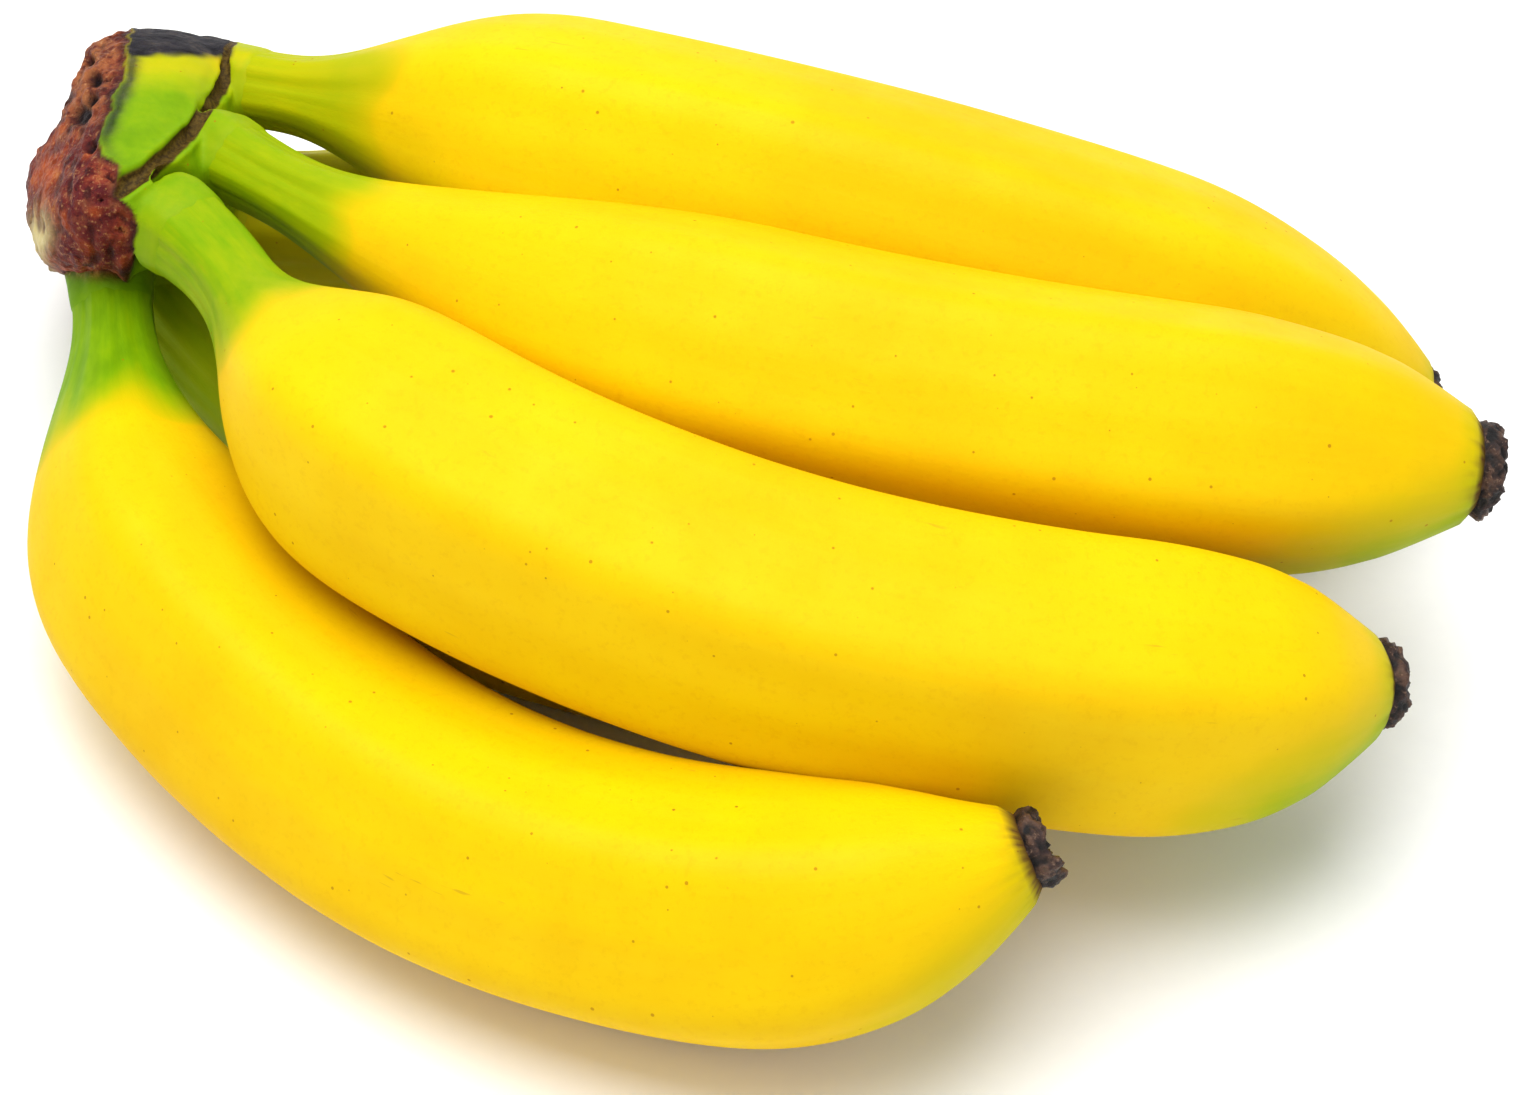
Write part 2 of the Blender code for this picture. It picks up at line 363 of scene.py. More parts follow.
def shaped(skin, straight, ridge_turn):
    """The radii of the finished skin."""
    traits = FINGERS[skin.number]
    along = skin.along[:, None]
    from_end = skin.length - along
    until = traits["green_until_mm"] * MM
    stalkness = 1 - ease((along - STALK_SHARE * until) / (STALK_FADE * until))
    ridged = smoothed(skin.ridged, RIDGE_SMOOTHING)[:, None]
    reaches = skin.reaches * (1 + traits["swell"] * bell(along, SWELL_AT, SWELL_LENGTH))
    # Each ridge is a rounded edge between two nearly flat faces, a little uneven along its length
    uneven = 1 + skin_noise(straight, RIDGE_UNEVEN, skin.number)
    edges = RIDGE_CREST * np.cos(ridge_turn) + RIDGE_SHARP * np.cos(2 * ridge_turn)
    reaches *= 1 + ridged * uneven * edges
    angles = STALK_ANGLE * np.cos(ridge_turn + STALK_TURN) * (1 - 0.4 * np.cos(2 * ridge_turn))
    reaches *= 1 + stalkness * angles
    reaches += skin_noise(straight, SOFT_LUMPS, skin.number)
    reaches += skin_noise(straight, FINE_LUMPS, skin.number)
    # Fine lengthwise wrinkles on the stalk, and short puckers where the skin gathers at the flower end
    reaches += stalkness * skin_noise(straight, WRINKLES, skin.number)
    reaches += ease(1 - from_end / PUCKER_REACH) * skin_noise(straight, PUCKERS, skin.number)
    # The fruit rounds off towards its end, and the skin turns in sharply at the very end
    reaches *= 1 - (1 - traits["end"]) * np.clip(1 - from_end / NARROW_REACH, 0, 1) ** 1.6
    reaches *= 1 + BULGE * bell(from_end, BULGE_AT, BULGE_LENGTH)
    reaches *= 1 - TURN_IN * ease(1 - from_end / TURN_IN_REACH)
    return reaches


def greenness(skin, rings, straight, ridge_turn):
    """How green each point of the skin is: the stalk, and some of the flower end."""
    traits = FINGERS[skin.number]
    along = skin.along[:, None]
    from_end = skin.length - along
    until = traits["green_until_mm"] * MM
    creep = GREEN_ON_RIDGES * np.cos(ridge_turn) + skin_noise(straight, GREEN_PATCHES, skin.number)
    edge = (until + creep - along) / GREEN_FADE + 0.5
    green = traits["green"] * ease(edge) * (0.86 + 0.14 * np.clip((until - along) / until, 0, 1))
    above = (rings[..., 2] - skin.middles[:, None, 2]) / LOWER_SIDE
    lower = 0.10 + 0.90 * ease(0.5 - 1.6 * above)
    green = green + 1.5 * traits["end_green"] * ease(1 - from_end / END_PATCH) * lower
    return green + 0.3 * traits["end_green"] * ease(1 - from_end / END_RING)


def make_skin(skin):
    """The banana's peel: the measured body with crisper ridges, soft lumps, a creased stalk and end."""
    turns = evenly_turned(SKIN_SIDES)
    along = skin.along[:, None]
    from_end = skin.length - along
    ridge_turn = RIDGES * (turns[None] - skin.ridge)
    tube = (TUBE * np.cos(turns)[None], TUBE * np.sin(turns)[None], along + TUBE_SHIFT * skin.number)
    straight = np.stack(np.broadcast_arrays(*tube), -1)
    reaches = shaped(skin, straight, ridge_turn)
    skin.peeled = reaches
    skin.middles = skin.middles + END_REACH * ease(1 - from_end / END_REACH_FROM) * skin.ways
    rings = skin.rings(reaches)
    rings[..., 2] = np.maximum(rings[..., 2], FLOOR_TOUCH)
    first = max(skin.covered - int(BURIED / skin.length * SKIN_RINGS), 0)
    vertices, faces = lofted(rings[first:])
    piece = new_object(f"skin_{skin.number}", vertices, faces)

    spots = ease(lumps(straight, STAIN_SPOT_SIZE, skin.number + 11) + 0.3)
    stain = ease(1 - from_end / STAIN_EDGE) + 0.5 * ease(1 - from_end / STAIN_SPOTS) * spots
    crest = smoothed(skin.ridged, RIDGE_SMOOTHING)[:, None] * np.clip(np.cos(ridge_turn), 0, 1) ** 6
    green = greenness(skin, rings, straight, ridge_turn)
    for name, values in (("green", green), ("stain", np.clip(stain, 0, 1)), ("crest", crest)):
        shown = values[first:]
        add_attribute(piece, name, np.concatenate([shown.ravel(), [shown[0].mean(), shown[-1].mean()]]))
    flat = straight[first:].reshape(-1, 3)
    add_attribute(piece, "straight", np.concatenate([flat, flat[:1], flat[-1:]]), "FLOAT_VECTOR")
    return piece


# ---------------------------------------------------------------- the dried flower ends

TIP_RINGS = 46
TIP_SIDES = 72
TIP_SEED = 30
# (distance beyond the fruit's end in mm, share of the fruit's end radius)
TIP_PROFILE = (
    (-1.4, 0.72), (-0.5, 0.84), (0.2, 0.90), (0.8, 0.95), (1.4, 0.96), (2.1, 0.93), (2.8, 0.88),
    (3.3, 0.80), (3.4, 0.70), (2.9, 0.56), (2.4, 0.42), (2.1, 0.26), (2.3, 0.12), (2.3, 0.03),
)
# Noise as (height, size, step of the seed): the rim's length and girth in shares, the rest in mm
RIM_TEETH = (0.42, 3.2 * MM, 0)
RIM_NICKS = (0.26, 1.1 * MM, 1)
UNROUND = (0.07, 4 * MM, 2)
CRUMBS = (0.45, 1.9 * MM, 3)
FINE_CRUMBS = (0.34, 0.75 * MM, 4)
FOLDS = (0.45, 2.4 * MM, 5)


def make_tip(skin):
    """A short crumbly stub with a ragged rim and a hollow, wrinkled face."""
    traits = FINGERS[skin.number]

    def noise_of(kind, points):
        height, size, step = kind
        return height * lumps(points, size, skin.number + TIP_SEED + step)

    profile = np.array(TIP_PROFILE)
    places = np.linspace(0, len(profile) - 1, TIP_RINGS)
    distance = np.interp(places, np.arange(len(profile)), profile[:, 0]) * MM
    distance = np.where(distance > 0, distance * traits["stub"], distance)
    share = np.interp(places, np.arange(len(profile)), profile[:, 1])
    turns = evenly_turned(TIP_SIDES)
    end_reach = np.interp(turns, evenly_turned(SKIN_SIDES), skin.reaches[-1]) * traits["end"]
    end, way, out, side = skin.middles[-1], skin.ways[-1], skin.outs[-1], skin.sides[-1]
    spokes = np.cos(turns)[:, None] * out + np.sin(turns)[:, None] * side
    ragged = 1 + noise_of(RIM_TEETH, spokes * 5 * MM) + noise_of(RIM_NICKS, spokes * 6 * MM)
    beyond = np.where(distance[:, None] > 0, distance[:, None] * ragged[None], distance[:, None])
    reach = share[:, None] * end_reach[None] * (1 + noise_of(UNROUND, spokes * 6 * MM)[None])
    rings = end + beyond[..., None] * way + reach[..., None] * spokes[None]
    # Crumbs stand out sideways at the stub's foot and forwards on its face
    outward = spokes[None] * np.cos(places / TIP_RINGS * 2)[:, None, None] + way
    deep = noise_of(CRUMBS, rings) + noise_of(FINE_CRUMBS, rings) - np.abs(noise_of(FOLDS, rings))
    rings = rings + (deep * MM)[..., None] * outward
    vertices, faces = lofted(rings)
    piece = new_object(f"flower_end_{skin.number}", vertices, faces)
    # deep also tells the material where to paint shade into the hollows
    add_attribute(piece, "deep", np.concatenate([deep.ravel(), [0, deep[-1].mean()]]))
    return piece


# ---------------------------------------------------------------- the crown

CROWN_VOXEL = 0.42 * MM
RELAX_FACTOR = 0.5
RELAX_TIMES = 14
# The crown's skin wraps each stalk this thickly, from this ring on and so far past the crown. It fades to
# a little under the stalk's own skin, and its first rings are drawn in.
SLEEVE_WALL = 0.35 * MM
SLEEVE_UNDER = 0.35 * MM
SLEEVE_BEYOND = 3.2 * MM
SLEEVE_START = 1
SLEEVE_NOSE = 4
SLEEVE_NARROWED = 0.10
# Places on the crown are in mm, as (x, rise), where rise is y + z: how far up and back a point is. First
# the edge of the cut face, then the seam between the cushion and the stalks.
CUT_EDGE = (
    (-88.0, 60.0), (-84.7, 70.5), (-83.3, 74.9), (-82.7, 77.4), (-82.2, 80.8), (-82.7, 83.4),
    (-83.3, 85.8), (-85.0, 87.4), (-84.7, 92.7), (-86.9, 95.3), (-87.6, 98.3), (-87.4, 102.2),
    (-86.7, 106.2), (-85.5, 113.1), (-86.2, 121.5), (-87.0, 130.0),
)
SEAM = (
    (-71.8, 122.7), (-72.6, 118.1), (-72.6, 112.2), (-73.6, 108.2), (-75.3, 102.2), (-77.8, 97.3),
    (-80.6, 92.7), (-84.1, 89.3), (-85.5, 87.4),
)
# Pits as (x, rise, radius)
PITS = (
    (-90.2, 112.1, 1.2), (-90.3, 107.6, 1.1), (-91.8, 104.8, 1.7), (-91.6, 116.5, 0.8), (-89.4, 97.5, 0.9),
)
# Pale and orange places on the cut face, as (x, rise, half width, half height)
CREAM_SPOT = (-97.5, 80.4, 2.1, 4.6)
EMBER_SPOT = (-96.8, 93.3, 2.2, 3.5)
# The crown's outline on its cut side as (rise, x), and its ragged lower edge as (x, rise)
CUT_SIDE = (
    (60.0, -96.0), (72.3, -97.0), (78.4, -98.9), (88.3, -100.4), (92.7, -100.7), (95.7, -100.1),
    (98.3, -99.1), (100.3, -97.2), (102.6, -96.0), (107.2, -94.6), (113.1, -93.0), (119.1, -92.3),
    (120.9, -89.8), (124.0, -86.0),
)
LOWER_EDGE = (
    (-102.0, 74.0), (-97.0, 72.3), (-95.0, 72.3), (-94.3, 73.1), (-92.4, 74.4), (-89.6, 73.8),
    (-86.8, 73.5), (-85.2, 72.4), (-84.8, 70.4), (-84.2, 72.5), (-83.3, 74.9), (-82.7, 77.5),
    (-81.5, 80.0), (-60.0, 60.0),
)
# The torn spike of skin at the lower edge: where it is, and the rise from which points are drawn down, by
# this share of how far above it they are, until the rise where the spike ends
SPIKE_AT = -84.8
SPIKE_WIDTH = 0.75
SPIKE_FROM = 71.0
SPIKE_REACH = 5.0
SPIKE_SHARE = 0.55
SPIKE_UNTIL = 78.0
# How rough the cut side is, and how much of what stands past it is left
CUT_SIDE_ROUGH = 0.3
CUT_SIDE_LEFT = 0.12
# The rise at which the dried dark band along the top begins, and where it ends towards the stalks
BAND_FROM = 116.0
BAND_UNTIL_X = -71.2
# The crown is carved on a plane that leans back at 45 degrees, where a rise is this much shorter
VIEW_SHRINK = math.sqrt(0.5)
# Heights of the carving, in mm
COARSE_RELIEF = 0.55
FIBRE_RELIEF = 0.46
CRUMB_RELIEF = 0.24
CUT_SUNK = 0.22
RIM_RELIEF = 0.35
SMOOTH_RELIEF = 0.16
SMOOTH_FINE_RELIEF = 0.07
SEAM_DEPTH = 1.15
SEAM_LIP = 0.30
PIT_DEPTH = 1.2
BAND_DEPTH = 0.15
# How green the crown's own skin is, and how much less so near its top edge
CROWN_GREEN = 0.80
TOP_YELLOW = 0.45


def line_distance(x, rise, line):
    """(distance in mm to a line of (x, rise) points, share of the way along it at the nearest place)"""
    best = np.full(x.shape, 1e9)
    place = np.zeros(x.shape)
    points = np.array(line) * (1, VIEW_SHRINK)
    here = np.stack([x, rise * VIEW_SHRINK], -1)
    for i, (a, b) in enumerate(zip(points, points[1:])):
        share = np.clip((here - a) @ (b - a) / ((b - a) @ (b - a)), 0, 1)
        distance = np.linalg.norm(here - a - share[..., None] * (b - a), axis=-1)
        nearer = distance < best
        best = np.where(nearer, distance, best)
        place = np.where(nearer, (i + share) / (len(points) - 1), place)
    return best, place


def sleeve(skin):
    """Skin of the crown that wraps a stalk a little way out, as (vertices, faces)."""
    start, last = SLEEVE_START, skin.covered
    stop = last + int(SLEEVE_BEYOND / skin.length * SKIN_RINGS)
    reach = skin.peeled[start:stop, ::2]
    fade = ease((np.arange(start, stop) - last) / (stop - last))[:, None]
    reach = reach + SLEEVE_WALL - (SLEEVE_WALL + SLEEVE_UNDER) * fade
    nose = 1 - SLEEVE_NARROWED * (1 - ease((np.arange(start, stop) - start) / SLEEVE_NOSE))
    reach = reach * nose[:, None]
    spokes = spokes_at(evenly_turned(reach.shape[1]), skin.outs[start:stop], skin.sides[start:stop])
    return lofted(skin.middles[start:stop, None] + reach[..., None] * spokes)


def make_crown(skins):
    """The crown with its stalks' first few millimetres, grown together, then carved."""
    bm = bmesh.new()
    bm.from_mesh(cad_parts["crown"].data)
    bmesh.ops.remove_doubles(bm, verts=bm.verts, dist=1e-6)
    for skin in skins:
        vertices, faces = sleeve(skin)
        made = [bm.verts.new(vertex) for vertex in vertices.tolist()]
        for face in faces:
            bm.faces.new([made[i] for i in face])
    mesh = bpy.data.meshes.new("crown_cage")
    bm.to_mesh(mesh)
    bm.free()
    cage = bpy.data.objects.new("crown_cage", mesh)
    bpy.context.scene.collection.objects.link(cage)
    remesh = cage.modifiers.new("one skin", "REMESH")
    remesh.mode = "VOXEL"
    remesh.voxel_size = CROWN_VOXEL
    relax = cage.modifiers.new("relaxed", "SMOOTH")
    relax.factor = RELAX_FACTOR
    relax.iterations = RELAX_TIMES
    graph = bpy.context.evaluated_depsgraph_get()
    whole = bpy.data.meshes.new_from_object(cage.evaluated_get(graph))
    bpy.data.objects.remove(cage, do_unlink=True)
    piece = bpy.data.objects.new("crown_cushion", whole)
    bpy.context.scene.collection.objects.link(piece)
    carve_crown(piece, skins)
    return piece


def vertex_values(mesh, name):
    """A vector of each vertex, by name, as (vertices, 3)."""
    values = np.empty(len(mesh.vertices) * 3, np.float32)
    mesh.vertices.foreach_get(name, values)
    return values.reshape(-1, 3).astype(float)


def trim_outline(points, facing, sleeved):
    """Moves the points of the crown's left and lower sides onto its outline, and gives (x, rise) in mm."""
    x, rise = points[:, 0] / MM, (points[:, 1] + points[:, 2]) / MM
    # The crown was cut off flat on its left
    side = np.array(CUT_SIDE)
    limit = np.interp(rise, side[:, 0], side[:, 1]) + CUT_SIDE_ROUGH * lumps(points, 3 * MM, 40)
    x = np.where(x < limit, limit + CUT_SIDE_LEFT * (x - limit), x)
    points[:, 0] = x * MM
    # Its skin was torn off along its lower edge, and hangs down in a spike
    low = np.array(LOWER_EDGE)
    lack = np.clip(np.interp(x, low[:, 0], low[:, 1]) - rise, 0, 4)
    spike = np.clip(rise - SPIKE_FROM, 0, SPIKE_REACH) * SPIKE_SHARE * bell(x, SPIKE_AT, SPIKE_WIDTH)
    spike *= ease((SPIKE_UNTIL - rise) / SPIKE_REACH)
    lift = lack * facing * (1 - sleeved) - spike * facing * (1 - sleeved)
    points[:, 1:] += (lift * MM / 2)[:, None]
    return x, rise + lift


def find_pits(points, x, rise, facing, cut):
    """Large pits at their places, and small ones strewn over parts of the cut face."""
    pits = np.zeros(len(points))
    for pit_x, pit_rise, radius in PITS:
        off = np.hypot(x - pit_x, (rise - pit_rise) * VIEW_SHRINK)
        pits = np.maximum(pits, (1 - ease((off - 0.55 * radius) / (0.75 * radius))) * facing)
    small = ease((lumps(points, 1.6 * MM, 48) - 0.52) / 0.12) * ease((lumps(points, 7 * MM, 49) + 0.1) / 0.3)
    return np.maximum(pits, 0.8 * small) * cut


def carve_crown(piece, skins):
    """Gives the grown crown its outline, cut face, seam, band and pits, and marks where each of them is."""
    mesh = piece.data
    points, normals = vertex_values(mesh, "co"), vertex_values(mesh, "normal")
    outside = np.array([crown_tree.find_nearest(Vector(point))[3] for point in points]) / MM
    sleeved = ease((outside - 0.5) / 0.7)
    facing = ease((normals[:, 2] - normals[:, 1]) * VIEW_SHRINK / 0.35 + 0.2)
    x, rise = trim_outline(points, facing, sleeved)

    # The cut face lies on the left of the cut edge
    edge = np.array(CUT_EDGE)
    wobble = 0.7 * lumps(points, 3.2 * MM, 41) + 0.2 * lumps(points, 0.9 * MM, 42)
    inside = np.interp(rise, edge[:, 1], edge[:, 0]) + wobble - x
    cut = ease(inside / 0.5 + 0.5) * (1 - sleeved)
    rim = bell(inside, 0.3, 0.9)

    # The seam where the stalks' bases part from the cushion: wider towards its near end
    distance, place = line_distance(x + 0.35 * lumps(points, 2.2 * MM, 43), rise, SEAM)
    width = 0.45 + 0.85 * place
    seam = (1 - ease((distance - 0.5 * width) / width)) * facing * (1 - 0.7 * cut)

    # The dried band along the top, and the dark edge that runs down from it beside the cut
    band = ease((rise - BAND_FROM + 1.2 * lumps(points, 3 * MM, 44)) / 2.2) * ease(BAND_UNTIL_X - x)
    beside = bell(inside, -0.9, 1.1) * ease((rise - 92) / 10)
    band = np.clip(band + 0.85 * beside, 0, 1) * (1 - cut)

    fibre = lumps(points * (1.0, 0.45, 0.45), 1.5 * MM, 45)
    coarse = lumps(points, 5.5 * MM, 46)
    crumbs = lumps(points, 0.8 * MM, 47)
    pits = find_pits(points, x, rise, facing, cut)

    height = cut * (COARSE_RELIEF * coarse + FIBRE_RELIEF * fibre + CRUMB_RELIEF * crumbs - CUT_SUNK)
    height += RIM_RELIEF * rim
    smooth = SMOOTH_RELIEF * lumps(points, 6 * MM, 50) + SMOOTH_FINE_RELIEF * lumps(points, 2 * MM, 51)
    height += (1 - cut) * smooth
    height -= SEAM_DEPTH * seam + PIT_DEPTH * pits
    height += SEAM_LIP * bell(distance, 1.5 * width, 0.6) * facing * (1 - cut)
    height -= BAND_DEPTH * band * (0.5 + lumps(points, 1.3 * MM, 52))
    on_stalk, green = nearest_stalk(points, skins)
    height *= 1 - 0.8 * on_stalk * (1 - cut)
    points += normals * (height * MM)[:, None]
    mesh.vertices.foreach_set("co", points.astype(np.float32).ravel())
    mesh.update()
    mesh.shade_smooth()

    def spot(place):
        return bell(x, place[0], place[2]) * bell(rise, place[1], place[3])

    ember = np.maximum(1.3 * spot(EMBER_SPOT), ease((lumps(points, 4 * MM, 53) - 0.25) / 0.3) * 0.7)
    marks = {
        "cut": cut,
        "seam": np.clip(seam, 0, 1),
        "band": band,
        "pits": np.clip(pits, 0, 1),
        "cream": np.clip(1.3 * spot(CREAM_SPOT) * ease(0.8 + fibre) * cut, 0, 1),
        "ember": np.clip(ember * cut, 0, 1),
        "rim": rim,
        "dry": cut * ease((rise - 96 + 5 * coarse) / 12) * ease((-85 - x) / 5),
        "fibre": fibre,
        "green": green - TOP_YELLOW * ease((rise - 107) / 8) * (1 - on_stalk),
    }
    for name, values in marks.items():
        add_attribute(piece, name, values)


def nearest_stalk(points, skins):
    """(1 where a point is on a stalk's sleeve, how green the skin there is)"""
    gaps = []
    for skin in skins:
        middles = skin.middles[: SKIN_RINGS // 4 : 4]
        reach = skin.reaches[: SKIN_RINGS // 4 : 4].mean(1)
        away = np.linalg.norm(points[:, None] - middles[None], axis=-1) - reach[None]
        gaps.append(away.min(1))
    gaps = np.array(gaps)
    weights = np.exp(-np.clip(gaps, 0, None) / (2.2 * MM)) + 1e-4
    strengths = np.array([FINGERS[skin.number]["green"] for skin in skins])
    pull = np.exp(-np.clip(gaps.min(0), 0, None) / (2.5 * MM))
    green = (weights * strengths[:, None]).sum(0) / weights.sum(0)
    on_sleeve = ease(1 - (gaps.min(0) - 0.2 * MM) / (1.2 * MM))
    return on_sleeve, CROWN_GREEN + (green - CROWN_GREEN) * pull


# ---------------------------------------------------------------- materials


def srgb(red, green, blue):
    """A colour given as on a screen, 0 to 255."""
    parts = []
    for part in (red, green, blue):
        part /= 255
        parts.append(part / 12.92 if part <= 0.04045 else ((part + 0.055) / 1.055) ** 2.4)
    return (*parts, 1.0)


# Ripe skin from its lightest to its deepest yellow, and skin from yellow to green
YELLOWS = ((0.30, srgb(231, 196, 0)), (0.48, srgb(228, 188, 0)), (0.70, srgb(222, 175, 0)))
GREENS = (
    (0.0, srgb(224, 184, 0)), (0.18, srgb(200, 180, 0)), (0.45, srgb(158, 170, 0)),
    (0.75, srgb(116, 154, 0)), (1.0, srgb(82, 128, 0)),
)
STREAK, GRAIN, RUB = srgb(232, 198, 20), srgb(212, 164, 0), srgb(150, 98, 30)
# Freckles as (spacing of their cells, radius as a share of it, share of cells with none, colour)
SMALL_FRECKLES = (2.6 * MM, 0.038, 0.50, srgb(160, 102, 12))
LARGE_FRECKLES = (8 * MM, 0.013, 0.80, srgb(120, 72, 14))
WORN_CREST, STAIN = srgb(205, 150, 20), srgb(88, 60, 30)
# The cut face of the crown
FLESH = (
    (0.25, srgb(34, 8, 10)), (0.42, srgb(88, 26, 22)), (0.54, srgb(128, 52, 36)),
    (0.66, srgb(156, 90, 52)), (0.78, srgb(186, 130, 84)),
)
MAROON, DRY_FLESH, PALE_FLESH = srgb(80, 22, 30), srgb(154, 96, 56), srgb(200, 146, 96)
EMBER, CREAM = srgb(196, 88, 20), srgb(206, 190, 132)
DARK_SPECK, DARK_FIBRE = srgb(34, 12, 14), srgb(42, 16, 16)
CUT_RIM, PIT = srgb(44, 22, 24), srgb(18, 8, 10)
DRIED_BAND = ((0.3, srgb(18, 17, 22)), (0.55, srgb(42, 39, 44)), (0.8, srgb(78, 70, 62)))
GROOVE_DARK, GROOVE_LIGHT = srgb(48, 34, 12), srgb(92, 72, 26)
# The dried flower ends
STUB = ((0.30, srgb(16, 9, 8)), (0.48, srgb(48, 30, 26)), (0.64, srgb(88, 62, 48)), (0.8, srgb(60, 50, 30)))
# The near-black one is painted shade, laid into the stub's hollows and creases
STUB_PALE, STUB_CREASE_SHADE = srgb(156, 126, 104), srgb(9, 5, 5)
FLOOR_TINTS = srgb(246, 246, 246), srgb(250, 250, 249)
# Light goes further into the flesh the redder it is
SCATTER = (1.0, 0.55, 0.08)


class Graph:
    """Short names for building a material's nodes."""

    def __init__(self, name):
        self.material = bpy.data.materials.new(name)
        self.material.use_nodes = True
        self.tree = self.material.node_tree
        self.shader = self.tree.nodes["Principled BSDF"]
        self.place = self.add("ShaderNodeTexCoord").outputs["Object"]

    def feed(self, socket, value):
        if isinstance(value, bpy.types.NodeSocket):
            self.tree.links.new(value, socket)
        else:
            socket.default_value = value

    def add(self, kind, inputs=(), **settings):
        node = self.tree.nodes.new(kind)
        for name, value in settings.items():
            setattr(node, name, value)
        for key, value in dict(inputs).items():
            self.feed(node.inputs[key], value)
        return node

    def attribute(self, name, output="Fac"):
        return self.add("ShaderNodeAttribute", attribute_name=name).outputs[output]

    def stretched(self, vector, scale):
        inputs = {0: vector, 1: scale}
        return self.add("ShaderNodeVectorMath", inputs, operation="MULTIPLY").outputs[0]

    def noise(self, vector, size, detail=2.0, rough=0.5):
        inputs = {"Vector": vector, "Scale": 1 / size, "Detail": detail, "Roughness": rough}
        return self.add("ShaderNodeTexNoise", inputs).outputs["Fac"]

    def range(self, value, low, high, to_low=0.0, to_high=1.0):
        inputs = {0: value, 1: low, 2: high, 3: to_low, 4: to_high}
        node = self.add("ShaderNodeMapRange", inputs, interpolation_type="SMOOTHSTEP")
        return node.outputs[0]

    def math(self, operation, a, b=0.0):
        return self.add("ShaderNodeMath", {0: a, 1: b}, operation=operation).outputs[0]

    def mix(self, factor, a, b, blend="MIX"):
        node = self.add("ShaderNodeMix", data_type="RGBA", blend_type=blend)
        for index, value in ((0, factor), (6, a), (7, b)):
            self.feed(node.inputs[index], value)
        return node.outputs[2]

    def ramp(self, value, stops):
        node = self.add("ShaderNodeValToRGB", {0: value})
        elements = node.color_ramp.elements
        while len(elements) < len(stops):
            elements.new(0.5)
        for element, (position, colour) in zip(elements, stops):
            element.position = position
            element.color = colour
        return node.outputs[0]

    def bump(self, height, depth, strength=1.0, below=None):
        inputs = {"Height": height, "Distance": depth, "Strength": strength}
        if below is not None:
            inputs["Normal"] = below
        return self.add("ShaderNodeBump", inputs).outputs[0]

    def finish(self, colour, roughness, normal, **constants):
        self.feed(self.shader.inputs["Base Color"], colour)
        self.feed(self.shader.inputs["Roughness"], roughness)
        self.feed(self.shader.inputs["Normal"], normal)
        for name, value in constants.items():
            self.shader.inputs[name.replace("_", " ")].default_value = value
        return self.material


def peel(graph, straight, green):
    """(colour, roughness, normal) of banana skin."""
    wide = graph.noise(straight, 45 * MM, 2.0)
    mottle = graph.noise(straight, 9 * MM, 3.0, 0.6)
    streaks = graph.noise(graph.stretched(straight, (1.0, 1.0, 0.06)), 1.6 * MM, 3.0, 0.6)
    ripeness = graph.math("ADD", graph.math("MULTIPLY", wide, 0.7), graph.math("MULTIPLY", mottle, 0.3))
    yellow = graph.ramp(ripeness, YELLOWS)
    yellow = graph.mix(graph.range(streaks, 0.4, 0.8, 0.0, 0.16), yellow, STREAK)
    grain = graph.noise(straight, 1.1 * MM, 3.0, 0.7)
    yellow = graph.mix(graph.range(grain, 0.50, 0.72, 0.0, 0.30), yellow, GRAIN)
    patchy = graph.range(mottle, 0.3, 0.7, -0.10, 0.10)
    greenness = graph.math("ADD", green, graph.math("MULTIPLY", green, patchy))
    stripes = graph.range(streaks, 0.3, 0.7, -0.035, 0.035)
    greenness = graph.math("ADD", greenness, graph.math("MULTIPLY", green, stripes))
    greened = graph.ramp(greenness, GREENS)
    colour = graph.mix(graph.range(greenness, 0.0, 0.14), yellow, greened)
    colour, rough_spots = freckles(graph, colour, SMALL_FRECKLES)
    colour = freckles(graph, colour, LARGE_FRECKLES)[0]
    # Rubs: faint brown lengthwise scratches
    rubs = graph.noise(graph.stretched(straight, (1.0, 1.0, 0.12)), 0.9 * MM, 2.0, 0.7)
    where = graph.noise(straight, 17 * MM, 2.0, 0.6)
    rubbed = graph.math("MULTIPLY", graph.range(rubs, 0.66, 0.74), graph.range(where, 0.58, 0.70, 0.0, 0.35))
    colour = graph.mix(rubbed, colour, RUB)
    roughness = graph.range(mottle, 0.3, 0.7, 0.52, 0.62)
    roughness = graph.math("ADD", roughness, graph.math("MULTIPLY", rough_spots, 0.2))
    fine = graph.noise(straight, 0.55 * MM, 3.0, 0.6)
    normal = graph.bump(fine, 0.05 * MM, 0.55)
    normal = graph.bump(streaks, 0.08 * MM, 0.35, normal)
    return colour, roughness, normal


def freckles(graph, colour, kind):
    """(the colour with small round spots, a mask of the spots): each spot has its own cell."""
    spacing, radius, rarity, tint = kind
    inputs = {"Vector": graph.place, "Scale": 1 / spacing, "Randomness": 1.0}
    cells = graph.add("ShaderNodeTexVoronoi", inputs, feature="F1", voronoi_dimensions="3D")
    picked = graph.add("ShaderNodeSeparateColor", {0: cells.outputs["Color"]})
    chosen = graph.range(picked.outputs[0], rarity, rarity + 0.02)
    smaller_by = graph.math("MULTIPLY", picked.outputs[1], 2.2 * radius)
    near = graph.math("SUBTRACT", cells.outputs["Distance"], smaller_by)
    mask = graph.math("MULTIPLY", chosen, graph.range(near, radius, 0.0))
    return graph.mix(graph.math("MULTIPLY", mask, 0.7), colour, tint), mask


